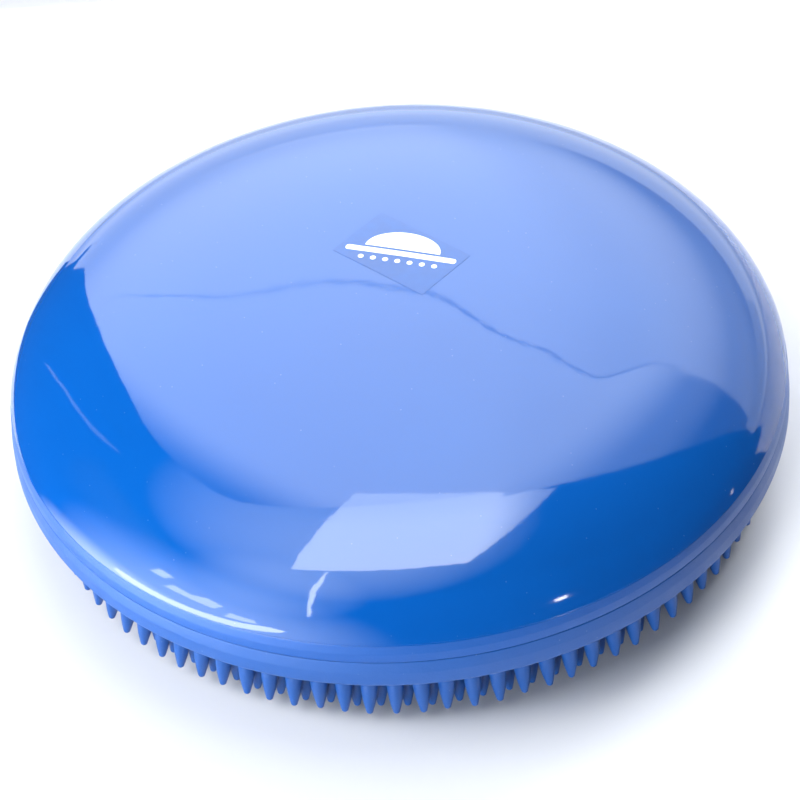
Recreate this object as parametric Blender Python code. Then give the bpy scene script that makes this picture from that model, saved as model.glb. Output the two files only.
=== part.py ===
"""Inflatable balance disc: a glossy domed upper shell, a spiked lower shell, a valve and an emblem.

Units are metres and +Z is up. The origin is on the disc's axis, in the plane that the spikes stand on.
"""

import math

import bmesh
import bpy
from mathutils import Matrix, Vector
from mathutils.geometry import delaunay_2d_cdt

# ---------------------------------------------------------------- driving dimensions

SEGMENTS = 80                  # facets round the two shells
VALVE_SEGMENTS = 32            # facets round the valve's pieces
HOLE_SEGMENTS = 24             # facets round the valve's hole in the skin
GAP = 0.0003                   # clearance between pieces that touch

WALL = 0.0030                  # thickness of the moulded skin
SEAM_RADIUS = 0.1650           # outside radius where the two shells meet
SEAM_Z = 0.0445
SEAM_CHAMFER = 0.00035         # edge break on both sides of the seam

SHOULDER_RADIUS = 0.1636       # foot of the dome
SHOULDER_Z = 0.0530
DOME_RISE = 0.0460             # from the shoulder to the crown
DOME_SPAN = 0.1670             # radius at which the dome's curve would stand upright
DOME_POWER = 2.7               # above 2, the curve is fuller than an ellipse
CREASE_DEPTH = 0.0004          # crease between dome and band
CREASE_HEIGHT = 0.0010

LIP_RADIUS = 0.1664            # widest part of the lower band
LIP_ROUND = 0.0030             # rounding under the lower band
FLAT_Z = 0.0155                # outside of the flat underside
KNEE_RADIUS = 0.0250           # rounding between the flat underside and its sloping rim
SLOPE_START = 0.1490           # where the 45 degree rim would meet the flat underside

TONGUE_HEIGHT = 0.0055         # lap of the lower shell inside the upper one
TONGUE_THICKNESS = 0.0020

SPIKE_BASE_RADIUS = 0.0044     # from the axis to the corners of the square root
SPIKE_TIP_RADIUS = 0.0015
RIM_ROWS = (                   # radius, number of spikes, offset round the rim in spikes, length
    (0.1550, 100, 0.00, 0.0158),
    (0.1485, 96, 0.43, 0.0160),
)
RIM_SPIKE_LEAN = math.radians(13)
INNER_SPIKE_LENGTH = FLAT_Z    # the inner spikes reach the ground
INNER_ROW_STEP = 0.0152        # row m of the inner field has radius m * step and 6 * m spikes
INNER_ROWS = range(2, 10)

VALVE_HOLE_RADIUS = 0.0083
BORE_RADIUS = 0.0046
SOCKET_FLANGE_RADIUS = 0.0140
SOCKET_FLANGE_THICKNESS = 0.0009
SOCKET_COLLAR_RADIUS = 0.0120
SOCKET_COLLAR_THICKNESS = 0.0015
SOCKET_TOP_Z = 0.0320
PLUG_HEAD_RADIUS = 0.0085
PLUG_HEAD_THICKNESS = 0.0018
PLUG_STEM_LENGTH = 0.0110

EMBLEM_LENGTH = 0.0480
EMBLEM_WIDTH = 0.0310
EMBLEM_THICKNESS = 0.0004
EMBLEM_CENTRE = (0.0050, 0.0040)
EMBLEM_ANGLE = math.radians(-43)
EMBLEM_CELLS = (10, 6)

# ---------------------------------------------------------------- scene and mesh helpers


def clear_scene():
    for item in list(bpy.data.objects):
        bpy.data.objects.remove(item, do_unlink=True)


def make_material(name, colour, roughness):
    material = bpy.data.materials.new(name)
    material.use_nodes = True
    shader = material.node_tree.nodes["Principled BSDF"]
    shader.inputs["Base Color"].default_value = (*colour, 1.0)
    shader.inputs["Roughness"].default_value = roughness
    shader.inputs["Metallic"].default_value = 0.0
    return material


def make_object(name, mesh_builder, material, origin=(0.0, 0.0, 0.0)):
    """Make an object from a bmesh drawn in world positions, with its origin where it is asked for."""
    bmesh.ops.recalc_face_normals(mesh_builder, faces=mesh_builder.faces)
    mesh_builder.transform(Matrix.Translation(-Vector(origin)))
    mesh = bpy.data.meshes.new(name)
    mesh_builder.to_mesh(mesh)
    mesh_builder.free()
    mesh.shade_smooth()
    mesh.set_sharp_from_angle(angle=math.radians(35))
    mesh.materials.append(material)
    item = bpy.data.objects.new(name, mesh)
    item.location = origin
    bpy.context.scene.collection.objects.link(item)
    return item


def on_circle(radius, turn, z):
    return Vector((radius * math.cos(turn), radius * math.sin(turn), z))


def add_ring(bm, radius, z, count):
    """Add a ring of vertices, or a single one where the radius is zero."""
    if radius == 0.0:
        return [bm.verts.new((0.0, 0.0, z))]
    return [bm.verts.new(on_circle(radius, 2 * math.pi * i / count, z)) for i in range(count)]


def join_rings(bm, first, second):
    """Fill between two rings of the same count, or between a ring and a single vertex."""
    count = max(len(first), len(second))
    for i in range(count):
        j = (i + 1) % count
        corners = []
        for vert in (first[i % len(first)], first[j % len(first)],
                     second[j % len(second)], second[i % len(second)]):
            if vert not in corners:
                corners.append(vert)
        bm.faces.new(corners)


def turn_profile(bm, profile, count, closed=False):
    """Turn a profile of (radius, z) points about the Z axis, and return its rings."""
    rings = [add_ring(bm, radius, z, count) for radius, z in profile]
    for first, second in zip(rings, rings[1:]):
        join_rings(bm, first, second)
    if closed:
        join_rings(bm, rings[-1], rings[0])
    return rings


def arc(centre, radius, start, end, steps):
    """Points of an arc in the (radius, z) plane, with both ends."""
    points = []
    for i in range(steps + 1):
        angle = math.radians(start + (end - start) * i / steps)
        points.append((centre[0] + radius * math.cos(angle), centre[1] + radius * math.sin(angle)))
    return points


def fill_flat_between(bm, loops, height):
    """Triangulate between closed loops in plan, then lift each vertex to height(radius).

    The first loop is the outside edge. Every other loop bounds a hole. The loops' vertices are reused.
    """
    verts = []
    owner = []
    edges = []
    for number, loop in enumerate(loops):
        base = len(verts)
        verts.extend(loop)
        owner.extend([number] * len(loop))
        edges.extend((base + i, base + (i + 1) % len(loop)) for i in range(len(loop)))
    plan = [Vector((vert.co.x, vert.co.y)) for vert in verts]
    triangles = delaunay_2d_cdt(plan, edges, [], 0, 1e-7, True)[2]
    for corners in triangles:
        owners = {owner[i] for i in corners}
        if len(owners) == 1 and 0 not in owners:
            continue
        bm.faces.new([verts[i] for i in corners])
    for vert in verts:
        vert.co.z = height(math.hypot(vert.co.x, vert.co.y))


# ---------------------------------------------------------------- shape of the shells

KNEE_START = SLOPE_START - KNEE_RADIUS * math.tan(math.radians(22.5))
KNEE_CENTRE_Z = FLAT_Z + KNEE_RADIUS
KNEE_END = KNEE_START + KNEE_RADIUS * math.sin(math.radians(45))
LIP_CENTRE = (LIP_RADIUS - LIP_ROUND,
              FLAT_Z + LIP_RADIUS - SLOPE_START + LIP_ROUND * math.tan(math.radians(22.5)))


def underside_z(radius):
    """Outside of the lower skin: flat, then a knee, then a 45 degree slope up to the band."""
    if radius <= KNEE_START:
        return FLAT_Z
    if radius <= KNEE_END:
        return KNEE_CENTRE_Z - math.sqrt(KNEE_RADIUS ** 2 - (radius - KNEE_START) ** 2)
    return FLAT_Z + radius - SLOPE_START


def dome_curve(radius):
    """Height of the full curve, from 1 on the axis to 0 at DOME_SPAN. The shoulder cuts off its foot."""
    return (1.0 - (radius / DOME_SPAN) ** DOME_POWER) ** (1.0 / DOME_POWER)


def dome_z(radius):
    foot = dome_curve(SHOULDER_RADIUS)
    return SHOULDER_Z + DOME_RISE * (dome_curve(radius) - foot) / (1.0 - foot)


def dome_normal(x, y):
    radius = math.hypot(x, y)
    step = 0.0001
    slope = (dome_z(radius) - dome_z(radius + step)) / step
    return Vector((x * slope, y * slope, radius)).normalized()


def dome_profile(shrink, steps):
    """Dome from crown to shoulder, drawn in by shrink all round, with steps that close up at the rim."""
    radii = [SHOULDER_RADIUS * math.sin(math.pi / 2 * i / steps) for i in range(steps + 1)]
    across = (SHOULDER_RADIUS - shrink) / SHOULDER_RADIUS
    upward = (DOME_RISE - shrink) / DOME_RISE
    return [(radius * across, SHOULDER_Z + (dome_z(radius) - SHOULDER_Z) * upward) for radius in radii]


def band_inner_radius(z):
    """Inside of the upper band, which leans in from the seam to the shoulder."""
    share = (z - SEAM_Z) / (SHOULDER_Z - SEAM_Z)
    return SEAM_RADIUS - WALL + (SHOULDER_RADIUS - SEAM_RADIUS) * share


def build_upper_shell(material):
    seam_z = SEAM_Z + GAP / 2
    outside = dome_profile(0.0, 11)
    band = [
        (SHOULDER_RADIUS - CREASE_DEPTH, SHOULDER_Z - CREASE_HEIGHT / 2),
        (SHOULDER_RADIUS + 0.0002, SHOULDER_Z - CREASE_HEIGHT),
        (SEAM_RADIUS - 0.0004, (SEAM_Z + SHOULDER_Z) / 2),
        (SEAM_RADIUS, seam_z + SEAM_CHAMFER),
        (SEAM_RADIUS - SEAM_CHAMFER, seam_z),
        (SEAM_RADIUS - WALL, seam_z),
    ]
    inside = dome_profile(WALL, 6)
    bm = bmesh.new()
    turn_profile(bm, outside + band + inside[::-1], SEGMENTS)
    return make_object("upper_shell", bm, material)


def spike_places():
    """Radius, turn, lean and length of every spike, row by row from the rim inwards."""
    places = []
    for radius, count, offset, length in RIM_ROWS:
        for i in range(count):
            places.append((radius, 2 * math.pi * (i + offset) / count, RIM_SPIKE_LEAN, length))
    for row in INNER_ROWS:
        for i in range(6 * row):
            turn = 2 * math.pi * (i + 0.5 * (row % 2)) / (6 * row)
            places.append((row * INNER_ROW_STEP, turn, 0.0, INNER_SPIKE_LENGTH))
    return places


def square_in_plan(centre, radius, turn):
    return [centre + on_circle(radius, turn + math.pi / 4 + math.pi / 2 * i, 0.0) for i in range(4)]


def build_lower_shell(material):
    seam_z = SEAM_Z - GAP / 2
    lap_top = SEAM_Z + TONGUE_HEIGHT
    lap_top_radius = band_inner_radius(lap_top) - GAP
    lap_foot_radius = band_inner_radius(SEAM_Z) - GAP
    inner_knee = arc((KNEE_START, KNEE_CENTRE_Z), KNEE_RADIUS - WALL, -45, -90, 3)

    bm = bmesh.new()
    wall = arc(LIP_CENTRE, LIP_ROUND, -45, 0, 3)
    wall += [
        (LIP_RADIUS - 0.0004, (LIP_CENTRE[1] + SEAM_Z) / 2),
        (SEAM_RADIUS, seam_z - SEAM_CHAMFER),
        (SEAM_RADIUS - SEAM_CHAMFER, seam_z),
        (lap_foot_radius, seam_z),
        (lap_top_radius, lap_top),
        (lap_top_radius - TONGUE_THICKNESS, lap_top),
        (lap_foot_radius - TONGUE_THICKNESS, seam_z),
        (LIP_RADIUS - WALL - 0.0012, LIP_CENTRE[1] + 0.0015),
    ]
    rings = turn_profile(bm, wall + inner_knee, SEGMENTS)

    hole_outside = add_ring(bm, VALVE_HOLE_RADIUS, FLAT_Z, HOLE_SEGMENTS)
    hole_inside = add_ring(bm, VALVE_HOLE_RADIUS, FLAT_Z + WALL, HOLE_SEGMENTS)
    join_rings(bm, hole_inside, hole_outside)
    fill_flat_between(bm, [rings[-1], hole_inside], lambda radius: FLAT_Z + WALL)

    loops = [rings[0], hole_outside]
    for radius, turn, lean, length in spike_places():
        foot = on_circle(radius, turn, 0.0)
        base = [bm.verts.new(corner) for corner in square_in_plan(foot, SPIKE_BASE_RADIUS, turn)]
        reach = length * math.sin(lean)
        tip_z = underside_z(radius) - length * math.cos(lean)
        tip_centre = on_circle(radius + reach, turn, tip_z)
        tip = [bm.verts.new(corner) for corner in square_in_plan(tip_centre, SPIKE_TIP_RADIUS, turn)]
        join_rings(bm, base, tip)
        bm.faces.new(tip)
        loops.append(base)
    fill_flat_between(bm, loops, underside_z)
    bmesh.ops.remove_doubles(bm, verts=bm.verts, dist=1e-7)
    return make_object("lower_shell", bm, material)


# ---------------------------------------------------------------- valve and emblem

SOCKET_BASE_Z = FLAT_Z - GAP - SOCKET_FLANGE_THICKNESS


def build_valve_socket(material):
    body_radius = VALVE_HOLE_RADIUS - GAP
    collar_z = FLAT_Z + WALL + GAP
    profile = [
        (BORE_RADIUS + 0.0004, SOCKET_BASE_Z),
        (SOCKET_FLANGE_RADIUS, SOCKET_BASE_Z),
        (SOCKET_FLANGE_RADIUS, FLAT_Z - GAP),
        (body_radius, FLAT_Z - GAP),
        (body_radius, collar_z),
        (SOCKET_COLLAR_RADIUS, collar_z),
        (SOCKET_COLLAR_RADIUS, collar_z + SOCKET_COLLAR_THICKNESS),
        (body_radius, collar_z + SOCKET_COLLAR_THICKNESS + 0.0010),
        (body_radius - 0.0010, SOCKET_TOP_Z),
        (BORE_RADIUS, SOCKET_TOP_Z),
        (BORE_RADIUS, SOCKET_BASE_Z + 0.0004),
    ]
    bm = bmesh.new()
    turn_profile(bm, profile, VALVE_SEGMENTS, closed=True)
    return make_object("valve_socket", bm, material)


def build_valve_plug(material):
    head_top = SOCKET_BASE_Z - GAP
    head_base = head_top - PLUG_HEAD_THICKNESS
    stem = BORE_RADIUS - GAP
    stem_top = head_top + PLUG_STEM_LENGTH
    profile = [
        (0.0, head_base + 0.0006),
        (0.0045, head_base),
        (PLUG_HEAD_RADIUS - 0.0008, head_base),
        (PLUG_HEAD_RADIUS, head_base + 0.0008),
        (PLUG_HEAD_RADIUS, head_top),
        (stem, head_top),
        (stem - 0.0004, head_top + 0.0030),
        (stem, head_top + 0.0042),
        (stem, head_top + 0.0050),
        (stem - 0.0004, head_top + 0.0065),
        (stem - 0.0004, stem_top - 0.0030),
        (stem - 0.0001, stem_top - 0.0022),
        (stem - 0.0012, stem_top),
        (0.0, stem_top),
    ]
    bm = bmesh.new()
    turn_profile(bm, profile, VALVE_SEGMENTS)
    return make_object("valve_plug", bm, material, origin=(0.0, 0.0, head_top))


def build_emblem_film(material):
    """Thin rectangular film that lies along the dome's curve."""
    across = Vector((math.cos(EMBLEM_ANGLE), math.sin(EMBLEM_ANGLE)))
    along = Vector((-across.y, across.x))
    columns, rows = EMBLEM_CELLS
    bm = bmesh.new()
    layers = []
    for lift in (GAP, GAP + EMBLEM_THICKNESS):
        layer = {}
        for i in range(columns + 1):
            for j in range(rows + 1):
                place = Vector(EMBLEM_CENTRE)
                place += across * EMBLEM_LENGTH * (i / columns - 0.5)
                place += along * EMBLEM_WIDTH * (j / rows - 0.5)
                point = Vector((place.x, place.y, dome_z(place.length)))
                layer[i, j] = bm.verts.new(point + dome_normal(place.x, place.y) * lift)
        layers.append(layer)
    for layer in layers:
        for i in range(columns):
            for j in range(rows):
                bm.faces.new((layer[i, j], layer[i + 1, j], layer[i + 1, j + 1], layer[i, j + 1]))
    edge = [(i, 0) for i in range(columns)] + [(columns, j) for j in range(rows)]
    edge += [(i, rows) for i in range(columns, 0, -1)] + [(0, j) for j in range(rows, 0, -1)]
    join_rings(bm, [layers[0][key] for key in edge], [layers[1][key] for key in edge])
    return make_object("emblem_film", bm, material)


def main():
    clear_scene()
    build_upper_shell(make_material("glossy_blue_pvc", (0.006, 0.12, 0.60), 0.16))
    build_lower_shell(make_material("satin_blue_pvc", (0.03, 0.14, 0.56), 0.45))
    build_valve_socket(make_material("valve_socket_pvc", (0.02, 0.10, 0.42), 0.5))
    build_valve_plug(make_material("valve_plug_plastic", (0.85, 0.86, 0.88), 0.4))
    build_emblem_film(make_material("printed_film", (0.80, 0.84, 0.92), 0.25))


main()
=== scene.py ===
"""Looks of the inflatable balance disc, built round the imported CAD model.

Units are metres, +Z is up and the floor is at Z = 0. The near side of the disc is at -Y.
"""

import math
import random

import bmesh
import bpy
from mathutils import Matrix, Vector, noise


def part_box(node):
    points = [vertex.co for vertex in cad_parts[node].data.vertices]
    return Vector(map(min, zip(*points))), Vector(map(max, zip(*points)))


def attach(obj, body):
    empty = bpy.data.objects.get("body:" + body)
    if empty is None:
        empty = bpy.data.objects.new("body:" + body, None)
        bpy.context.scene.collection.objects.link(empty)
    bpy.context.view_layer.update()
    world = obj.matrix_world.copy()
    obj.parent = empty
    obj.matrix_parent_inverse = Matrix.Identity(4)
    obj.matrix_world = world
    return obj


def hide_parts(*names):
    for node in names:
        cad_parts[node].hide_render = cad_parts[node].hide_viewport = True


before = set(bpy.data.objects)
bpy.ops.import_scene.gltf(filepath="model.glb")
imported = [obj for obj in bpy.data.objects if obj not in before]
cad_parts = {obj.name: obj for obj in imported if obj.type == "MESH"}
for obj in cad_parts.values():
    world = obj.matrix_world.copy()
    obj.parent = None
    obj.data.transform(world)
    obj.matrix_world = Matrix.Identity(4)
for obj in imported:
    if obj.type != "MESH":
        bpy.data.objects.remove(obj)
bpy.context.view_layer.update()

# ---------------------------------------------------------------- sizes, from the frame

UPPER_LOW, UPPER_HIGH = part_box("upper_shell")
LOWER_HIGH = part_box("lower_shell")[1]
SOCKET_LOW, SOCKET_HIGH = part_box("valve_socket")
PLUG_LOW, PLUG_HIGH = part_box("valve_plug")

GAP = 0.0003                                     # clearance between pieces that touch
WALL = 0.0030                                    # thickness of the moulded skin
CHAMFER = 0.0002                                 # edge break on both sides of the seam
SHELL_ROUND = 0.0003                             # rounding of the corners of the shells' profiles
SHARP_ANGLE = 60                                 # shell and valve edges above this are shaded sharp
SEAM_Z = UPPER_LOW.z - GAP / 2
SEAM_RADIUS = UPPER_HIGH.x
CROWN_Z = UPPER_HIGH.z
LIP_RADIUS = LOWER_HIGH.x
SHOULDER_RADIUS = SEAM_RADIUS - 0.0014
SHOULDER_Z = SEAM_Z + 0.0085
DOME_RISE = CROWN_Z - SHOULDER_Z
DOME_SPAN = SEAM_RADIUS + 0.0020                 # where the dome's curve would stand upright
DOME_POWER = 2.7                                 # above 2, the curve is fuller than an ellipse

FLAT_Z = SOCKET_LOW.z + 0.0012                   # outside of the flat underside
KNEE_RADIUS = 0.0250                             # rounding between the flat underside and its sloping rim
SLOPE_START = 0.1490                             # where the 45 degree rim would meet the flat underside
KNEE_START = SLOPE_START - KNEE_RADIUS * math.tan(math.radians(22.5))
KNEE_END = KNEE_START + KNEE_RADIUS * math.sin(math.radians(45))
LIP_ROUND = 0.0030                               # rounding under the lower band
LIP_CENTRE = (LIP_RADIUS - LIP_ROUND,
              FLAT_Z + LIP_RADIUS - SLOPE_START + LIP_ROUND * math.tan(math.radians(22.5)))
VALVE_HOLE_RADIUS = 0.0083
BORE_RADIUS = 0.0046
COLLAR_RADIUS = 0.0120                           # of the socket's collar inside the skin
PLUG_HEAD_THICKNESS = 0.0018
PLUG_STEM_RADIUS = 0.0043
VALVE_ROUND = 0.00025                            # rounding of the corners of the valve's profiles

SPIKE_BASE_RADIUS = 0.0035
SPIKE_TIP_RADIUS = 0.00125
SPIKE_BULGE = 0.00045                            # how far the flanks swell out from a straight cone
SPIKE_ROOT_FLARE = 0.0009                        # how far the root spreads into the skin
SPIKE_ROOT_HEIGHT = 0.0035                       # over this height the axis turns from the skin's normal
RIM_ROWS = (                                     # radius, number, offset in spikes, length
    (0.1550, 100, 0.00, 0.0158),
    (0.1485, 96, 0.43, 0.0160),
)
RIM_SPIKE_LEAN = math.radians(13)
RIM_SPIKE_WOBBLE = 0.035                         # greatest random lean of a rim spike, in radians
INNER_ROW_STEP = 0.0152                          # row m of the inner field has radius m * step, 6 * m spikes
INNER_ROWS = range(2, 10)

SLOW_RIPPLE = 0.00016                            # height of the unevenness of the dome
QUICK_RIPPLE = 0.00002

SEGMENTS = 400                                   # facets round the two shells
DOME_STEPS = 110                                 # rings from the crown to the shoulder
VALVE_SEGMENTS = 96
SPIKE_SEGMENTS = 18

EMBLEM_CENTRE = Vector((0.0050, 0.0040))
EMBLEM_ANGLE = math.radians(-43)                 # of the film's long side
EMBLEM_LENGTH = 0.0480
EMBLEM_WIDTH = 0.0310
EMBLEM_SHARP_ANGLE = 40
FILM_LIFT = 0.00002                              # gap between dome and film
FILM_THICKNESS = 0.00008
MARK_ANGLE = math.radians(-19)                   # of the bar printed on the film
MARK_LIFT = 0.00009                              # just under the film's top, so the ink stands on it
MARK_THICKNESS = 0.00006
MARK_DOTS = 7
MARK_DOT_PITCH = 0.0052

# ---------------------------------------------------------------- mesh helpers


def on_circle(radius, turn, z):
    return Vector((radius * math.cos(turn), radius * math.sin(turn), z))


def add_ring(bm, radius, z, count):
    """A ring of vertices, or one vertex on the axis."""
    if radius < 1e-9:
        return [bm.verts.new((0.0, 0.0, z))]
    return [bm.verts.new(on_circle(radius, 2 * math.pi * i / count, z)) for i in range(count)]


def join_rings(bm, first, second):
    """Faces between two rings. Either may be a single vertex."""
    count = max(len(first), len(second))
    for i in range(count):
        j = (i + 1) % count
        corners = []
        for vert in (first[i % len(first)], first[j % len(first)],
                     second[j % len(second)], second[i % len(second)]):
            if vert not in corners:
                corners.append(vert)
        bm.faces.new(corners)


def turn_profile(bm, profile, count, closed=False):
    """Turn a (radius, z) profile round the axis. A closed one joins its last point to its first."""
    rings = [add_ring(bm, radius, z, count) for radius, z in profile]
    for first, second in zip(rings, rings[1:]):
        join_rings(bm, first, second)
    if closed:
        join_rings(bm, rings[-1], rings[0])
    return rings


def arc(centre, radius, start, end, steps):
    """Points along an arc between two angles in degrees."""
    points = []
    for i in range(steps + 1):
        angle = math.radians(start + (end - start) * i / steps)
        points.append((centre[0] + radius * math.cos(angle), centre[1] + radius * math.sin(angle)))
    return points


def rounded(points, radius, steps=4):
    """The same open (radius, z) profile with its inner corners rounded."""
    result = [points[0]]
    for before, here, after in zip(points, points[1:], points[2:]):
        corner = Vector(here)
        back = Vector(before) - corner
        ahead = Vector(after) - corner
        reach = min(radius, back.length * 0.45, ahead.length * 0.45)
        start = corner + back.normalized() * reach
        end = corner + ahead.normalized() * reach
        for i in range(steps + 1):
            share = i / steps
            point = start * (1 - share) ** 2 + corner * 2 * share * (1 - share) + end * share ** 2
            result.append(tuple(point))
    result.append(points[-1])
    return result


def make_piece(name, bm, material, body, replaced, sharp):
    """Turn a bmesh into a visible piece that rides on a body and stands for the replaced CAD nodes."""
    bmesh.ops.recalc_face_normals(bm, faces=bm.faces)
    mesh = bpy.data.meshes.new(name)
    bm.to_mesh(mesh)
    bm.free()
    mesh.shade_smooth()
    mesh.set_sharp_from_angle(angle=math.radians(sharp))
    mesh.materials.append(material)
    piece = bpy.data.objects.new(name, mesh)
    bpy.context.scene.collection.objects.link(piece)
    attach(piece, body)
    if replaced:
        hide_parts(*replaced)


# ---------------------------------------------------------------- material helpers


class Tree:
    """Short calls for building a node tree. A value is a number, a colour or another node's socket."""

    def __init__(self, tree):
        self.tree = tree

    def add(self, kind, **settings):
        node = self.tree.nodes.new(kind)
        for key, value in settings.items():
            setattr(node, key, value)
        return node

    def link(self, source, target):
        self.tree.links.new(source, target)

    def put(self, value, socket):
        if isinstance(value, bpy.types.NodeSocket):
            self.link(value, socket)
        elif isinstance(value, tuple):
            socket.default_value = (*value, 1.0)
        else:
            socket.default_value = value

    def math(self, operation, *values):
        node = self.add("ShaderNodeMath", operation=operation)
        for value, socket in zip(values, node.inputs):
            self.put(value, socket)
        return node.outputs["Value"]

    def along(self, source, direction):
        """How far a point lies along a direction."""
        node = self.add("ShaderNodeVectorMath", operation="DOT_PRODUCT")
        self.link(source, node.inputs[0])
        node.inputs[1].default_value = direction
        return node.outputs["Value"]

    def ramp(self, source, low, high, low_value=0.0, high_value=1.0, shape="LINEAR"):
        """Clamped ramp from low_value at low to high_value at high."""
        node = self.add("ShaderNodeMapRange", clamp=True, interpolation_type=shape)
        self.link(source, node.inputs["Value"])
        node.inputs["From Min"].default_value = low
        node.inputs["From Max"].default_value = high
        node.inputs["To Min"].default_value = low_value
        node.inputs["To Max"].default_value = high_value
        return node.outputs["Result"]

    def mix(self, share, first, second, kind="RGBA"):
        """Mix of two colours, or of two numbers if kind is FLOAT."""
        node = self.add("ShaderNodeMix", data_type=kind)
        first_socket, second_socket, result = {"RGBA": (6, 7, 2), "FLOAT": (2, 3, 0)}[kind]
        self.link(share, node.inputs[0])
        self.put(first, node.inputs[first_socket])
        self.put(second, node.inputs[second_socket])
        return node.outputs[result]


class Nodes(Tree):
    """A new material whose patterns follow the object's own coordinates."""

    def __init__(self, name):
        self.material = bpy.data.materials.new(name)
        self.material.use_nodes = True
        super().__init__(self.material.node_tree)
        self.shader = self.tree.nodes["Principled BSDF"]
        self.place = self.add("ShaderNodeTexCoord").outputs["Object"]

    def noise(self, scale, detail=4.0, roughness=0.5, stretch=None):
        """Noise from 0 to 1. stretch is the scale on each axis and the turn about each in degrees."""
        node = self.add("ShaderNodeTexNoise")
        node.inputs["Scale"].default_value = scale
        node.inputs["Detail"].default_value = detail
        node.inputs["Roughness"].default_value = roughness
        source = self.place
        if stretch:
            mapping = self.add("ShaderNodeMapping")
            mapping.inputs["Scale"].default_value = stretch[0]
            mapping.inputs["Rotation"].default_value = [math.radians(a) for a in stretch[1]]
            self.link(source, mapping.inputs["Vector"])
            source = mapping.outputs["Vector"]
        self.link(source, node.inputs["Vector"])
        return node.outputs["Fac"]

    def flecks(self, scale, size, keep):
        """Small round specks: 1 inside a speck, 0 elsewhere. keep is the share of cells that hold one."""
        cells = self.add("ShaderNodeTexVoronoi", feature="F1")
        cells.inputs["Scale"].default_value = scale
        self.link(self.place, cells.inputs["Vector"])
        dot = self.math("LESS_THAN", cells.outputs["Distance"], size)
        pick = self.add("ShaderNodeSeparateColor")
        self.link(cells.outputs["Color"], pick.inputs["Color"])
        chosen = self.math("LESS_THAN", pick.outputs["Red"], keep)
        return self.math("MULTIPLY", dot, chosen)

    def colour(self, value):
        self.link(value, self.shader.inputs["Base Color"])

    def roughness(self, value):
        self.link(value, self.shader.inputs["Roughness"])

    def bump(self, height, distance):
        node = self.add("ShaderNodeBump")
        node.inputs["Strength"].default_value = 1.0
        node.inputs["Distance"].default_value = distance
        self.link(height, node.inputs["Height"])
        self.link(node.outputs["Normal"], self.shader.inputs["Normal"])

    def set(self, **values):
        """Constants on the shader's own sockets."""
        for key, value in values.items():
            self.shader.inputs[key.replace("_", " ")].default_value = value


# ---------------------------------------------------------------- materials

PVC_IOR = 1.53
PLASTIC_IOR = 1.5
SATIN_ROUGHNESS = 0.45                           # of the PVC below the shoulder
DOME_BLUES = ((0.0006, 0.063, 0.294), (0.0008, 0.069, 0.314))
DOME_DUST = (0.45, 0.55, 0.75)
BAND_BLUES = ((0.004, 0.063, 0.272), (0.006, 0.071, 0.298))
# pale specks on the band and spikes: real dust, mixed in strongly enough to also lighten the band as painted
# sheen
BAND_DUST_AND_SHEEN = (0.45, 0.50, 0.62)
SOCKET_BLUE = (0.012, 0.060, 0.26)
PLUG_GREY = (0.78, 0.80, 0.82)
FILM_BLUE = (0.001, 0.064, 0.29)
WHITE_INK = (0.62, 0.68, 0.66)
FLOOR_GREYS = ((0.525, 0.545, 0.585), (0.535, 0.555, 0.595))


def glossy_pvc():
    """Glossy dome, with a satin band below its shoulder."""
    n = Nodes("glossy_pvc")
    place = n.add("ShaderNodeSeparateXYZ")
    n.link(n.place, place.inputs["Vector"])
    band = n.ramp(place.outputs["Z"], SHOULDER_Z - 0.0009, SHOULDER_Z - 0.0003, 1.0, 0.0)
    cloud = n.ramp(n.noise(9.0, 3.0), 0.35, 0.65)
    dust = n.flecks(420.0, 0.13, 0.05)
    n.colour(n.mix(n.math("MULTIPLY", dust, 0.07), n.mix(cloud, *DOME_BLUES), DOME_DUST))
    hairlines = n.ramp(n.noise(26.0, 2.0, 0.6, ((1.0, 26.0, 1.0), (0, 0, 34))), 0.66, 0.70)
    smears = n.ramp(n.noise(7.0, 5.0, 0.6), 0.45, 0.75, 0.04, 0.09)
    gloss = n.math("ADD", smears, n.math("MULTIPLY", hairlines, 0.05))
    n.roughness(n.math("MAXIMUM", gloss, n.math("MULTIPLY", band, SATIN_ROUGHNESS)))
    grain = n.math("MULTIPLY", n.noise(900.0, 3.0), n.math("MULTIPLY", band, 3.0))
    n.bump(n.math("ADD", n.noise(140.0, 2.0), grain), 0.00002)
    n.set(IOR=PVC_IOR)
    return n.material


def satin_pvc():
    """Lower band and spikes: the same PVC with a fine grain, and pale specks that are partly dust and partly
    painted sheen.
    """
    n = Nodes("satin_pvc")
    cloud = n.ramp(n.noise(14.0, 4.0), 0.3, 0.7)
    # pale specks, partly dust and partly painted sheen that lightens the band
    dust = n.flecks(480.0, 0.14, 0.06)
    n.colour(n.mix(n.math("MULTIPLY", dust, 0.14), n.mix(cloud, *BAND_BLUES), BAND_DUST_AND_SHEEN))
    n.roughness(n.ramp(n.noise(60.0, 5.0, 0.6), 0.3, 0.7, SATIN_ROUGHNESS - 0.05, SATIN_ROUGHNESS + 0.07))
    grain = n.math("ADD", n.noise(900.0, 3.0), n.math("MULTIPLY", n.noise(160.0, 2.0), 0.6))
    n.bump(grain, 0.00006)
    n.set(IOR=PVC_IOR)
    return n.material


def film_print(name, colour, roughness):
    """Printed film, slightly blotched."""
    n = Nodes(name)
    shade = n.ramp(n.noise(220.0, 4.0, 0.65), 0.30, 0.70)
    n.colour(n.mix(shade, tuple(channel * 0.90 for channel in colour), colour))
    n.roughness(n.ramp(n.noise(90.0, 3.0), 0.3, 0.7, roughness, roughness + 0.08))
    n.bump(n.noise(500.0, 2.0), 0.00002)
    n.set(IOR=PLASTIC_IOR)
    return n.material


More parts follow.
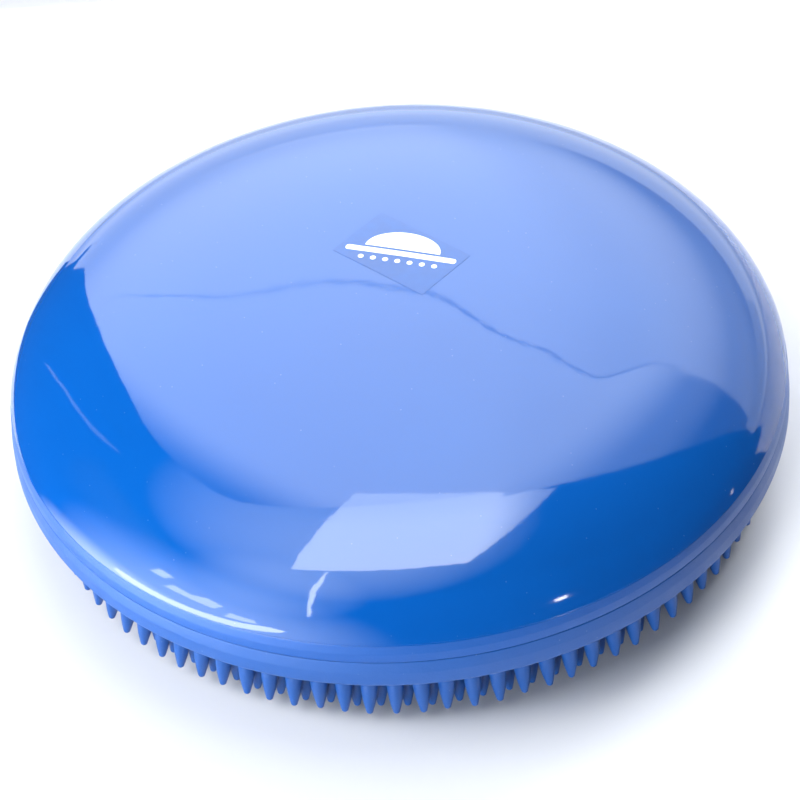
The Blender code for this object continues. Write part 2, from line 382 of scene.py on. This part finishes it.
def plain_plastic(name, colour, roughness):
    """Moulded plastic of the valve."""
    n = Nodes(name)
    shade = n.ramp(n.noise(70.0, 4.0), 0.35, 0.65)
    n.colour(n.mix(shade, tuple(channel * 0.92 for channel in colour), colour))
    n.roughness(n.ramp(n.noise(160.0, 4.0), 0.3, 0.7, roughness - 0.05, roughness + 0.07))
    n.bump(n.noise(1100.0, 2.0), 0.00003)
    n.set(IOR=PLASTIC_IOR)
    return n.material


# ---------------------------------------------------------------- shells


def dome_curve(radius):
    """Height of the full curve, from 1 on the axis to 0 at DOME_SPAN. The shoulder cuts off its foot."""
    return (1.0 - min(1.0, radius / DOME_SPAN) ** DOME_POWER) ** (1.0 / DOME_POWER)


def dome_z(radius):
    foot = dome_curve(SHOULDER_RADIUS)
    return SHOULDER_Z + DOME_RISE * (dome_curve(radius) - foot) / (1.0 - foot)


def dome_normal(x, y):
    radius = math.hypot(x, y)
    step = 0.0001
    slope = (dome_z(radius) - dome_z(radius + step)) / step
    return Vector((x * slope, y * slope, max(radius, 1e-6))).normalized()


def dome_ripple(x, y):
    """Slow unevenness of an inflated skin, along its normal. It never stands proud of the true dome."""
    fade = max(0.0, 1.0 - (math.hypot(x, y) / SHOULDER_RADIUS) ** 8)
    slow = noise.noise(Vector((x * 9.0, y * 9.0, 3.7)))
    quick = noise.noise(Vector((x * 26.0, y * 26.0, 9.1)))
    return fade * (SLOW_RIPPLE * (slow - 1.0) + QUICK_RIPPLE * (quick - 1.0))


def dome_point(x, y, lift=0.0):
    """Point on the rippled dome, raised along its normal."""
    return Vector((x, y, dome_z(math.hypot(x, y)))) + dome_normal(x, y) * (lift + dome_ripple(x, y))


def build_upper_shell(material):
    radii = [SHOULDER_RADIUS * math.sin(math.pi / 2 * i / DOME_STEPS) for i in range(DOME_STEPS + 1)]
    dome = [(radius, dome_z(radius)) for radius in radii]
    seam_z = SEAM_Z + GAP / 2
    band = rounded([
        dome[-1],
        (SHOULDER_RADIUS - 0.0002, SHOULDER_Z - 0.0003),
        (SHOULDER_RADIUS + 0.0001, SHOULDER_Z - 0.0008),
        (SEAM_RADIUS - 0.0004, (SEAM_Z + SHOULDER_Z) / 2),
        (SEAM_RADIUS, seam_z + CHAMFER),
        (SEAM_RADIUS - CHAMFER, seam_z),
        (SEAM_RADIUS - WALL, seam_z),
    ], SHELL_ROUND)
    across = (SHOULDER_RADIUS - WALL) / SHOULDER_RADIUS
    upward = (DOME_RISE - WALL) / DOME_RISE
    inside = [(radius * across, SHOULDER_Z + (z - SHOULDER_Z) * upward) for radius, z in dome[::-5]]
    bm = bmesh.new()
    rings = turn_profile(bm, dome + band[1:] + inside, SEGMENTS)
    for ring in rings[:len(dome)]:
        for vert in ring:
            vert.co = dome_point(vert.co.x, vert.co.y)
    make_piece("upper_skin", bm, material, "cushion", ["upper_shell"], SHARP_ANGLE)


def underside_z(radius):
    """Height of the outside of the underside: flat, then a knee, then a 45 degree slope."""
    if radius <= KNEE_START:
        return FLAT_Z
    if radius <= KNEE_END:
        return FLAT_Z + KNEE_RADIUS - math.sqrt(KNEE_RADIUS ** 2 - (radius - KNEE_START) ** 2)
    return FLAT_Z + radius - SLOPE_START


def underside_normal(radius, turn):
    """Outward normal of the underside, pointing down and, near the rim, outwards."""
    step = 0.0001
    slope = (underside_z(radius + step) - underside_z(radius - step)) / (2 * step)
    return (on_circle(slope, turn, 0.0) + Vector((0, 0, -1))).normalized()


def spike_places():
    """Radius, turn, lean and length of every spike, row by row from the rim inwards."""
    places = []
    for radius, count, offset, length in RIM_ROWS:
        for i in range(count):
            places.append((radius, 2 * math.pi * (i + offset) / count, RIM_SPIKE_LEAN, length))
    for row in INNER_ROWS:
        for i in range(6 * row):
            turn = 2 * math.pi * (i + 0.5 * (row % 2)) / (6 * row)
            places.append((row * INNER_ROW_STEP, turn, 0.0, FLAT_Z))
    return places


def spike_outline(length):
    """(height, radius) of a spike from its flared root to its round tip."""
    taper = (SPIKE_BASE_RADIUS - SPIKE_TIP_RADIUS) / length
    outline = []
    for height, share in ((-0.0004, 1.0), (0.0, 0.86), (0.0004, 0.50), (0.0009, 0.24), (0.0015, 0.08)):
        outline.append((height, SPIKE_BASE_RADIUS - taper * max(0.0, height) + SPIKE_ROOT_FLARE * share))
    straight = length - SPIKE_TIP_RADIUS
    for share in (0.15, 0.3, 0.45, 0.6, 0.75, 0.88):
        bulge = SPIKE_BULGE * math.sin(math.pi * share)
        outline.append((straight * share, SPIKE_BASE_RADIUS - taper * straight * share + bulge))
    end = SPIKE_BASE_RADIUS - taper * straight
    for angle in (0, 25, 50, 72):
        outline.append((straight + SPIKE_TIP_RADIUS * math.sin(math.radians(angle)),
                        end * math.cos(math.radians(angle))))
    return outline


def add_spike(bm, radius, turn, lean, length, wobble):
    """Add one spike. Its root stands square on the skin and its axis turns into the lean."""
    foot = on_circle(radius, turn, underside_z(radius))
    root_axis = underside_normal(radius, turn)
    axis = (on_circle(math.sin(lean), turn, -math.cos(lean)) + wobble).normalized()
    side = Vector((-math.sin(turn), math.cos(turn), 0.0))
    rings = []
    for height, width in spike_outline(length):
        share = min(1.0, max(0.0, height / SPIKE_ROOT_HEIGHT))
        share = share * share * (3 - 2 * share)
        normal = root_axis.lerp(axis, share).normalized()
        across = (side - normal * side.dot(normal)).normalized()
        other = normal.cross(across)
        centre = foot + axis * height
        rings.append([bm.verts.new(centre + width * (across * math.cos(2 * math.pi * i / SPIKE_SEGMENTS)
                                                     + other * math.sin(2 * math.pi * i / SPIKE_SEGMENTS)))
                      for i in range(SPIKE_SEGMENTS)])
    rings.append([bm.verts.new(foot + axis * length)])
    for first, second in zip(rings, rings[1:]):
        join_rings(bm, first, second)
    bm.faces.new(list(reversed(rings[0])))


def build_lower_shell(material):
    seam_z = SEAM_Z - GAP / 2
    lap_top = LOWER_HIGH.z                       # of the tongue that laps inside the upper shell
    lap_radius = SEAM_RADIUS - WALL - GAP
    flat_rings = 30
    underside = [(VALVE_HOLE_RADIUS + (KNEE_START - VALVE_HOLE_RADIUS) * i / flat_rings, FLAT_Z)
                 for i in range(flat_rings)]
    underside += arc((KNEE_START, FLAT_Z + KNEE_RADIUS), KNEE_RADIUS, -90, -45, 12)
    lip = arc(LIP_CENTRE, LIP_ROUND, -45, 0, 8)
    wall = rounded([
        lip[-1],
        (LIP_RADIUS - 0.0004, (LIP_CENTRE[1] + SEAM_Z) / 2),
        (SEAM_RADIUS, seam_z - CHAMFER),
        (SEAM_RADIUS - CHAMFER, seam_z),
        (lap_radius, seam_z),
        (lap_radius - 0.0009, lap_top),
        (lap_radius - 0.0029, lap_top),
        (lap_radius - 0.0020, seam_z),
        (LIP_RADIUS - WALL - 0.0012, LIP_CENTRE[1] + 0.0015),
    ], SHELL_ROUND)
    inner_knee = arc((KNEE_START, FLAT_Z + KNEE_RADIUS), KNEE_RADIUS - WALL, -45, -90, 8)
    inner = [(VALVE_HOLE_RADIUS, FLAT_Z + WALL)]
    bm = bmesh.new()
    turn_profile(bm, underside + lip + wall[1:] + inner_knee + inner, SEGMENTS, closed=True)
    dice = random.Random(7)
    for radius, turn, lean, length in spike_places():
        amount = RIM_SPIKE_WOBBLE if lean else 0.0
        wobble = Vector((dice.uniform(-amount, amount), dice.uniform(-amount, amount), 0.0))
        add_spike(bm, radius, turn, lean, length, wobble)
    make_piece("lower_skin", bm, material, "cushion", ["lower_shell"], SHARP_ANGLE)


# ---------------------------------------------------------------- valve


def build_valve_socket(material):
    """Spool through the skin: a flange with a groove outside, a body, and a collar inside."""
    body = VALVE_HOLE_RADIUS - GAP
    flange = SOCKET_HIGH.x
    base = SOCKET_LOW.z
    collar_base = FLAT_Z + WALL + GAP
    profile = rounded([
        (BORE_RADIUS, base + 0.0030),
        (BORE_RADIUS, base + 0.0004),
        (BORE_RADIUS + 0.0004, base),
        (0.0094, base),
        (0.0096, base + 0.0002),
        (0.0100, base + 0.0002),
        (0.0102, base),
        (flange - 0.0004, base),
        (flange, base + 0.0004),
        (flange, FLAT_Z - GAP),
        (body, FLAT_Z - GAP),
        (body, collar_base),
        (COLLAR_RADIUS, collar_base),
        (COLLAR_RADIUS, collar_base + 0.0015),
        (body, collar_base + 0.0025),
        (body - 0.0010, SOCKET_HIGH.z),
        (BORE_RADIUS, SOCKET_HIGH.z),
    ], VALVE_ROUND, 3)
    bm = bmesh.new()
    turn_profile(bm, profile, VALVE_SEGMENTS, closed=True)
    make_piece("valve_socket_skin", bm, material, "cushion", ["valve_socket"], SHARP_ANGLE)


def build_valve_plug(material):
    """Flat head with a shallow ring groove, and a stem with a sealing bead and a tapered end."""
    base = PLUG_LOW.z
    head = base + PLUG_HEAD_THICKNESS
    radius = PLUG_HIGH.x
    stem = PLUG_STEM_RADIUS
    stem_top = PLUG_HIGH.z
    profile = rounded([
        (0.0, base + 0.0007),
        (0.0030, base + 0.0006),
        (0.0042, base),
        (0.0056, base),
        (0.0058, base + 0.0003),
        (0.0064, base + 0.0003),
        (0.0066, base),
        (radius - 0.0006, base),
        (radius, base + 0.0006),
        (radius, head - 0.0003),
        (radius - 0.0003, head),
        (stem, head),
        (stem - 0.0004, head + 0.0030),
        (stem, head + 0.0042),
        (stem, head + 0.0050),
        (stem - 0.0004, head + 0.0065),
        (stem - 0.0004, stem_top - 0.0030),
        (stem - 0.0001, stem_top - 0.0022),
        (stem - 0.0012, stem_top),
        (0.0, stem_top),
    ], VALVE_ROUND, 3)
    bm = bmesh.new()
    turn_profile(bm, profile, VALVE_SEGMENTS)
    make_piece("valve_plug_skin", bm, material, "plug", ["valve_plug"], SHARP_ANGLE)


# ---------------------------------------------------------------- emblem


def add_plate(bm, outline, angle, lift, thickness, cell=0.003):
    """A thin plate with the given closed outline in plan, cut into cells and laid on the dome."""
    turn = Matrix.Rotation(angle, 2)
    flat = bmesh.new()
    flat.faces.new([flat.verts.new((x, y, 0.0)) for x, y in outline])
    xs = [x for x, y in outline]
    ys = [y for x, y in outline]
    for axis, low, high in (((1, 0, 0), min(xs), max(xs)), ((0, 1, 0), min(ys), max(ys))):
        cuts = int((high - low) / cell)
        for i in range(1, cuts + 1):
            place = low + (high - low) * i / (cuts + 1)
            bmesh.ops.bisect_plane(flat, geom=flat.verts[:] + flat.edges[:] + flat.faces[:],
                                   plane_co=Vector(axis) * place, plane_no=Vector(axis), dist=1e-7)

    def lay(vert, height):
        place = turn @ Vector((vert.co.x, vert.co.y)) + EMBLEM_CENTRE
        return dome_point(place.x, place.y, height)

    low_verts = {v: bm.verts.new(lay(v, lift)) for v in flat.verts}
    high_verts = {v: bm.verts.new(lay(v, lift + thickness)) for v in flat.verts}
    for face in flat.faces:
        bm.faces.new([high_verts[v] for v in face.verts])
        bm.faces.new([low_verts[v] for v in reversed(face.verts)])
    for edge in flat.edges:
        if edge.is_boundary:
            a, b = edge.verts
            bm.faces.new((low_verts[a], low_verts[b], high_verts[b], high_verts[a]))
    flat.free()


def rounded_box(length, width, corner, centre=(0.0, 0.0), steps=6):
    points = []
    for quadrant, (sx, sy) in enumerate(((1, 1), (-1, 1), (-1, -1), (1, -1))):
        for i in range(steps + 1):
            angle = math.pi / 2 * (quadrant + i / steps)
            points.append((centre[0] + sx * (length / 2 - corner) + corner * math.cos(angle),
                           centre[1] + sy * (width / 2 - corner) + corner * math.sin(angle)))
    return points


def disc_outline(radius, centre, steps=20):
    return [(centre[0] + radius * math.cos(2 * math.pi * i / steps),
             centre[1] + radius * math.sin(2 * math.pi * i / steps)) for i in range(steps)]


def dome_outline(width, height, centre, steps=28):
    """Flat-bottomed dome."""
    return [(centre[0] + width / 2 * math.cos(math.pi * i / steps),
             centre[1] + height * math.sin(math.pi * i / steps)) for i in range(steps + 1)]


def build_emblem(film_material, ink_material):
    """Blue film, and on it a generic mark: a dome over a bar, with a row of dots below."""
    bm = bmesh.new()
    film = rounded_box(EMBLEM_LENGTH, EMBLEM_WIDTH, 0.0006)
    add_plate(bm, film, EMBLEM_ANGLE, FILM_LIFT, FILM_THICKNESS)
    make_piece("emblem_film_skin", bm, film_material, "cushion", ["emblem_film"],
               EMBLEM_SHARP_ANGLE)
    figures = [dome_outline(0.032, 0.0108, (0.0, 0.0018)), rounded_box(0.047, 0.0030, 0.0012, (0.0, -0.0010))]
    for i in range(MARK_DOTS):
        figures.append(disc_outline(0.0012, (MARK_DOT_PITCH * (i - MARK_DOTS // 2), -0.0058)))
    bm = bmesh.new()
    for figure in figures:
        add_plate(bm, figure, MARK_ANGLE, MARK_LIFT, MARK_THICKNESS)
    make_piece("emblem_mark", bm, ink_material, "cushion", (), EMBLEM_SHARP_ANGLE)


# ---------------------------------------------------------------- studio
#
# The dome is a mirror, so what it reflects and what lights it are set apart. Panels and the white sheet are
# seen in reflections only. The large lamps light surfaces only. Azimuth runs from +Y towards +X.

ACROSS = (1.0, 0.0)                              # directions in plan, for fades
BACK = (0.0, 1.0)

FLOOR_REACH = 14.0                               # half the floor's side
FLOOR_WHITE_FROM = 0.7                           # the camera sees the floor turn plain white from here
FLOOR_WHITE_TO = 1.8                             # to here, as distances from the disc's axis
SHEET_REACH = 0.245                              # white paper round the disc, as the gloss reflects it
SHEET_BACK = ((0.40, -0.03), (0.62, 0.08), (9.0, 2.1), (9.0, 8.5), (-4.5, 8.5), (-1.42, 2.6),
              (-0.74, 1.12), (-0.26, 0.28))      # where the paper runs away behind the disc

AIM_HEIGHT = 0.05                                # the lamps and the rim patches are set out round this height
PANEL_HEIGHT = 1.4
DIM_HEIGHT = PANEL_HEIGHT - 0.01                 # of the duller panel that hangs under the back panel
JOINT_HEIGHT = DIM_HEIGHT - 0.01                 # of the dark line that is reflected between the panels
BACK_SHEET_HEIGHT = 0.001                        # a glow over the far end of the white paper
PANEL_TINT = (0.95, 1.0, 1.0)

LAMP_DISTANCE = 2.0
LAMPS = (                                        # name, azimuth, elevation, size, radiance
    ("front_fill", -150, 8, (1.2, 0.5), 20.0),
    ("left_key", -92, 22, (1.0, 0.8), 18.5),
    ("left_top", -125, 60, (1.0, 1.0), 10.5),
    ("back_right", 34, 31, (1.2, 1.0), 18.5),
    ("back_top", 5, 72, (1.2, 1.2), 9.5),
)

GLINT_DISTANCE = 1.3
GLINTS = (                                       # small lamps that the dome does reflect, in the same form
    ("right_glint", 95, -9, (0.02, 0.06), 5.0),
    ("front_glint", 146, 7, (0.07, 0.06), 24.0),
)

UNDER_LIGHT_SIZE = 0.27                          # lies on the floor under the disc, for views from below
UNDER_LIGHT_HEIGHT = 0.0003
UNDER_LIGHT_RADIANCE = 0.5

BACK_PANEL_EDGE = ((-2.28, 3.10), (-1.59, 1.90), (-1.19, 1.06), (-1.00, 0.48), (-0.72, 0.02), (-0.30, -0.06))
JOINT_END = ((0.53, 0.81), (0.66, 0.72), (0.80, 0.76), (0.98, 0.83), (1.23, 0.85), (1.50, 0.84), (2.97, 1.06))
JOINT_START = ((-1.85, 2.40), (-1.45, 2.20), (-0.98, 1.78), (-0.76, 1.62), (-0.52, 1.47), (-0.35, 1.45),
               (-0.14, 1.47), (0.02, 1.43), (0.12, 1.33), (0.27, 1.07), (0.40, 0.95))
THIN_STRIP = ((-0.49, -0.90), (-0.62, -1.16), (-0.76, -1.41), (-0.96, -1.85), (-1.19, -2.32), (-1.50, -3.00),
              (-1.90, -3.80))
LEFT_ARC = ((-1.50, 0.52), (-1.84, 0.86), (-2.29, 1.38), (-3.08, 2.25), (-6.59, 5.72))

RIM_PATCH_DISTANCE = 1.5
RIM_PATCHES = (                                  # name, radiance, outline in azimuth and elevation
    ("rim_line", 15.0, ((-104, -12), (-109, -13), (-127, -11), (-137, -9), (-148, -4), (-150, -1), (-146, 0),
                        (-136, -4), (-127, -6), (-113, -8), (-105, -9))),
    ("rim_patch_1", 11.0, ((-114, 8), (-118, 8), (-120, 13), (-116, 14))),
    ("rim_patch_2", 11.0, ((-119, 2), (-132, 2), (-134, 7), (-130, 9), (-126, 6), (-121, 7))),
    ("rim_patch_3", 11.0, ((-135, -2), (-143, 0), (-142, 3), (-136, 3))),
)

ROOM_STRENGTH = 0.06                             # the world, as reflections see it between the glows
GLOWS = (                                        # azimuth, elevation, radius, strength, sharpness
    (-128, -8, 48, 5.6, 1.3),
    (-104, -36, 34, 11.0, 1.2),
    (-135, 70, 37, 4.0, 1.0),
    (-140, 36, 22, 2.4, 1.0),
)
ROOM_TINT = (0.90, 0.99, 1.0)
FILL_STRENGTH = 0.04                             # the world, as it lights surfaces
FILL_TINT = (0.35, 0.60, 1.0)
WHITE = (1.0, 1.0, 1.0)

CAMERA_DISTANCE = 0.7907                         # from the centre of the seam
CAMERA_ELEVATION = math.radians(42.39)
CAMERA_TILT = math.radians(43.72)                # how far down it looks
CAMERA_ROLL = math.radians(4.27)
CAMERA_SENSOR = 36.0                             # this and the lens are in millimetres
CAMERA_LENS = 82.9


def heading(azimuth, elevation):
    """Unit vector towards an azimuth and elevation in degrees."""
    a, e = math.radians(azimuth), math.radians(elevation)
    return Vector((math.sin(a) * math.cos(e), math.cos(a) * math.cos(e), math.sin(e)))


def level(outline, height):
    return [(x, y, height) for x, y in outline]


def smooth_line(points, steps=8):
    """Points along the smooth curve through the given ones."""
    ends = [points[0]] + list(points) + [points[-1]]
    line = []
    for before, start, end, after in zip(ends, ends[1:], ends[2:], ends[3:]):
        for i in range(steps):
            t = i / steps
            line.append(tuple(0.5 * (2 * q + (r - p) * t + (2 * p - 5 * q + 4 * r - s) * t * t
                                     + (3 * q - p - 3 * r + s) * t * t * t)
                              for p, q, r, s in zip(before, start, end, after)))
    line.append(tuple(points[-1]))
    return line


def flat_mesh(name, corners, material):
    """A stage object with one face."""
    mesh = bpy.data.meshes.new(name)
    mesh.from_pydata(corners, [], [list(range(len(corners)))])
    mesh.materials.append(material)
    item = bpy.data.objects.new(name, mesh)
    bpy.context.scene.collection.objects.link(item)
    return item


def emitter(name, corners, radiance, fades=()):
    """A flat soft light with the given corners. It is seen in reflections only.

    Each fade is (direction in plan, from, to, share at from, share at to).
    """
    material = bpy.data.materials.new(name)
    material.use_nodes = True
    n = Tree(material.node_tree)
    n.tree.nodes.clear()
    glow = n.add("ShaderNodeEmission")
    output = n.add("ShaderNodeOutputMaterial")
    n.link(glow.outputs["Emission"], output.inputs["Surface"])
    place = n.add("ShaderNodeTexCoord").outputs["Object"]
    strength = radiance
    for direction, *ends in fades:
        share = n.ramp(n.along(place, (*direction, 0.0)), *ends, shape="SMOOTHSTEP")
        strength = n.math("MULTIPLY", strength, share)
    n.put(strength, glow.inputs["Strength"])
    n.put(PANEL_TINT, glow.inputs["Color"])
    panel = flat_mesh(name, corners, material)
    panel.visible_camera = False
    panel.visible_diffuse = False


def ribbon(name, points, width, height, radiance):
    """A level strip along a smooth line in plan. Its width tapers off at both ends."""
    line = [Vector(point) for point in smooth_line(points)]
    left, right = [], []
    for i, point in enumerate(line):
        ahead = (line[min(i + 1, len(line) - 1)] - line[max(i - 1, 0)]).normalized()
        across = Vector((-ahead.y, ahead.x)) * width / 2 * min(1.0, 4 * i / len(line) + 0.15,
                                                               4 * (1 - i / len(line)) + 0.15)
        left.append((*(point + across), height))
        right.append((*(point - across), height))
    emitter(name, left + right[::-1], radiance)


def add_light(name, shape, area, radiance):
    """An area light of the given radiance, still to be sized and placed."""
    light = bpy.data.lights.new(name, "AREA")
    light.shape = shape
    light.energy = radiance * math.pi * area
    item = bpy.data.objects.new(name, light)
    bpy.context.scene.collection.objects.link(item)
    return item


def lamp(name, azimuth, elevation, distance, size, radiance, mirrored):
    """Rectangular lamp aimed at the disc."""
    direction = heading(azimuth, elevation)
    item = add_light(name, "RECTANGLE", size[0] * size[1], radiance)
    item.data.size, item.data.size_y = size
    item.location = direction * distance + Vector((0, 0, AIM_HEIGHT))
    item.rotation_mode = "QUATERNION"
    item.rotation_quaternion = direction.to_track_quat("Z", "Y")
    item.visible_glossy = mirrored


def paper_floor():
    """Pale paper. The camera sees it plain white far from the disc, and looks through it from below."""
    n = Nodes("paper_floor")
    n.colour(n.mix(n.ramp(n.noise(3.0, 3.0), 0.3, 0.7), *FLOOR_GREYS))
    n.set(Roughness=0.85, Specular_IOR_Level=0.2, Emission_Color=(*WHITE, 1.0))
    geometry = n.add("ShaderNodeNewGeometry")
    distance = n.add("ShaderNodeVectorMath", operation="LENGTH")
    n.link(geometry.outputs["Position"], distance.inputs[0])
    far = n.ramp(distance.outputs["Value"], FLOOR_WHITE_FROM, FLOOR_WHITE_TO, shape="SMOOTHSTEP")
    rays = n.add("ShaderNodeLightPath")
    n.link(n.math("MULTIPLY", far, rays.outputs["Is Camera Ray"]), n.shader.inputs["Emission Strength"])
    clear = n.add("ShaderNodeBsdfTransparent")
    pick = n.add("ShaderNodeMixShader")
    n.link(geometry.outputs["Backfacing"], pick.inputs[0])
    n.link(n.shader.outputs["BSDF"], pick.inputs[1])
    n.link(clear.outputs["BSDF"], pick.inputs[2])
    n.link(pick.outputs["Shader"], n.tree.nodes["Material Output"].inputs["Surface"])
    return n.material


def build_floor():
    """The floor, and the part of it that the gloss reflects as white paper."""
    material = paper_floor()
    reach = FLOOR_REACH
    square = ((-reach, -reach), (reach, -reach), (reach, reach), (-reach, reach))
    near_sheet = [(SHEET_REACH * math.cos(math.radians(turn)), SHEET_REACH * math.sin(math.radians(turn)))
                  for turn in range(150, 351, 10)]
    sheet = near_sheet + list(SHEET_BACK)
    for name, outline, mirrored in (("floor", square, False), ("white_sheet", sheet, True)):
        floor = flat_mesh(name, level(outline, 0.0), material)
        floor.visible_glossy = mirrored
        floor.visible_camera = not mirrored
        floor.visible_diffuse = not mirrored
        floor.visible_shadow = not mirrored
        floor.visible_transmission = not mirrored


def build_panels():
    top = PANEL_HEIGHT
    emitter("back_panel", level((
        (-0.30, -0.06), (0.90, 0.00), (1.20, 0.05), (2.20, 0.25), (9.0, 2.0), (9.0, 8.5), (-5.2, 8.5),
        *smooth_line(BACK_PANEL_EDGE)), top),
        5.1, [(BACK, 0.4, 7.0, 1.0, 0.52), (ACROSS, 0.2, 0.9, 1.0, 0.82), (ACROSS, 0.9, 3.0, 1.0, 0.45),
              (ACROSS, -3.0, 0.0, 0.76, 1.0), ((0.8, 0.6), -0.58, -0.16, 0.15, 1.0)])
    emitter("back_sheet", level((
        (-0.33, 0.38), (1.86, 0.38), (9.0, 2.1), (9.0, 8.5), (-4.5, 8.5), (-1.42, 2.6),
        (-0.74, 1.12)), BACK_SHEET_HEIGHT),
        2.0, [(BACK, 0.38, 0.95, 0.55, 1.0)])
    emitter("back_wall", [(-5.2, 8.5, 0.0), (9.0, 8.5, 0.0), (9.0, 8.5, top), (-5.2, 8.5, top)], 1.9)
    emitter("right_wall", [(9.0, 8.5, 0.0), (9.0, 2.0, 0.0), (9.0, 2.0, top), (9.0, 8.5, top)], 1.4)
    emitter("overhead_panel", level((
        (-0.17, 0.06), (0.60, -0.08), (0.48, -0.42), (0.31, -0.86), (-0.72, -0.87)), top),
        10.4, [(ACROSS, 0.30, 0.58, 1.0, 0.40), (BACK, -0.30, 0.0, 1.0, 0.88)])
    emitter("dim_corner", level((
        (0.36, -0.08), (0.36, 0.92), *smooth_line(JOINT_END), (9.0, 2.4), (9.0, 1.9), (2.2, 0.22),
        (1.2, 0.02)), DIM_HEIGHT),
        4.9, [((0.8, -0.6), 0.20, 0.75, 1.0, 0.34), ((0.8, -0.6), 0.75, 1.6, 1.0, 0.25)])
    ribbon("ceiling_joint", JOINT_START + JOINT_END, 0.010, JOINT_HEIGHT, 1.2)
    ribbon("thin_strip", THIN_STRIP, 0.055, top, 13.0)
    ribbon("left_arc", LEFT_ARC, 0.06, top, 1.3)


def build_lights():
    for name, azimuth, elevation, size, radiance in LAMPS:
        lamp(name, azimuth, elevation, LAMP_DISTANCE, size, radiance, False)
    for name, azimuth, elevation, size, radiance in GLINTS:
        lamp(name, azimuth, elevation, GLINT_DISTANCE, size, radiance, True)
    under = add_light("under_light", "DISK", math.pi * (UNDER_LIGHT_SIZE / 2) ** 2, UNDER_LIGHT_RADIANCE)
    under.data.size = UNDER_LIGHT_SIZE
    under.location = (0.0, 0.0, UNDER_LIGHT_HEIGHT)
    under.rotation_euler = (math.pi, 0.0, 0.0)
    under.visible_camera = False
    under.visible_glossy = False
    centre = Vector((0.0, 0.0, AIM_HEIGHT))
    for name, radiance, outline in RIM_PATCHES:
        corners = [tuple(centre + heading(azimuth, elevation) * RIM_PATCH_DISTANCE)
                   for azimuth, elevation in outline]
        emitter(name, corners, radiance)


def build_world():
    """White where the camera looks past the floor. Every other ray sees a dim room with soft glows."""
    world = bpy.data.worlds.new("studio")
    world.use_nodes = True
    n = Tree(world.node_tree)
    direction = n.add("ShaderNodeTexCoord").outputs["Generated"]
    strength = ROOM_STRENGTH
    for azimuth, elevation, radius, amount, sharpness in GLOWS:
        nearness = n.along(direction, heading(azimuth, elevation))
        share = n.ramp(nearness, math.cos(math.radians(radius)), 1.0)
        strength = n.math("MULTIPLY_ADD", n.math("POWER", share, sharpness), amount, strength)
    rays = n.add("ShaderNodeLightPath")
    colour = ROOM_TINT
    for kind, amount, tint in (("Is Diffuse Ray", FILL_STRENGTH, FILL_TINT), ("Is Camera Ray", 1.0, WHITE)):
        strength = n.mix(rays.outputs[kind], strength, amount, "FLOAT")
        colour = n.mix(rays.outputs[kind], colour, tint)
    background = n.tree.nodes["Background"]
    n.link(strength, background.inputs["Strength"])
    n.link(colour, background.inputs["Color"])
    bpy.context.scene.world = world


def build_camera():
    """Looks down at the disc from the front, a little turned about its own axis."""
    data = bpy.data.cameras.new("camera")
    data.sensor_width = CAMERA_SENSOR
    data.lens = CAMERA_LENS
    data.clip_start = 0.05
    data.clip_end = 50.0
    camera = bpy.data.objects.new("camera", data)
    forward = Vector((0.0, math.cos(CAMERA_TILT), -math.sin(CAMERA_TILT)))
    across = Vector((1.0, 0.0, 0.0))
    over = across.cross(forward)
    right = across * math.cos(CAMERA_ROLL) - over * math.sin(CAMERA_ROLL)
    up = across * math.sin(CAMERA_ROLL) + over * math.cos(CAMERA_ROLL)
    place = Vector((0.0, -CAMERA_DISTANCE * math.cos(CAMERA_ELEVATION),
                    SEAM_Z + CAMERA_DISTANCE * math.sin(CAMERA_ELEVATION)))
    rotation = Matrix((right, up, -forward)).transposed()
    camera.matrix_world = Matrix.Translation(place) @ rotation.to_4x4()
    bpy.context.scene.collection.objects.link(camera)
    bpy.context.scene.camera = camera
    bpy.context.scene.view_settings.view_transform = "Standard"


# ---------------------------------------------------------------- the scene

build_camera()
build_upper_shell(glossy_pvc())
build_lower_shell(satin_pvc())
build_valve_socket(plain_plastic("socket_pvc", SOCKET_BLUE, 0.45))
build_valve_plug(plain_plastic("plug_plastic", PLUG_GREY, 0.32))
build_emblem(film_print("film", FILM_BLUE, 0.09), film_print("white_ink", WHITE_INK, 0.30))
build_floor()
build_panels()
build_lights()
build_world()
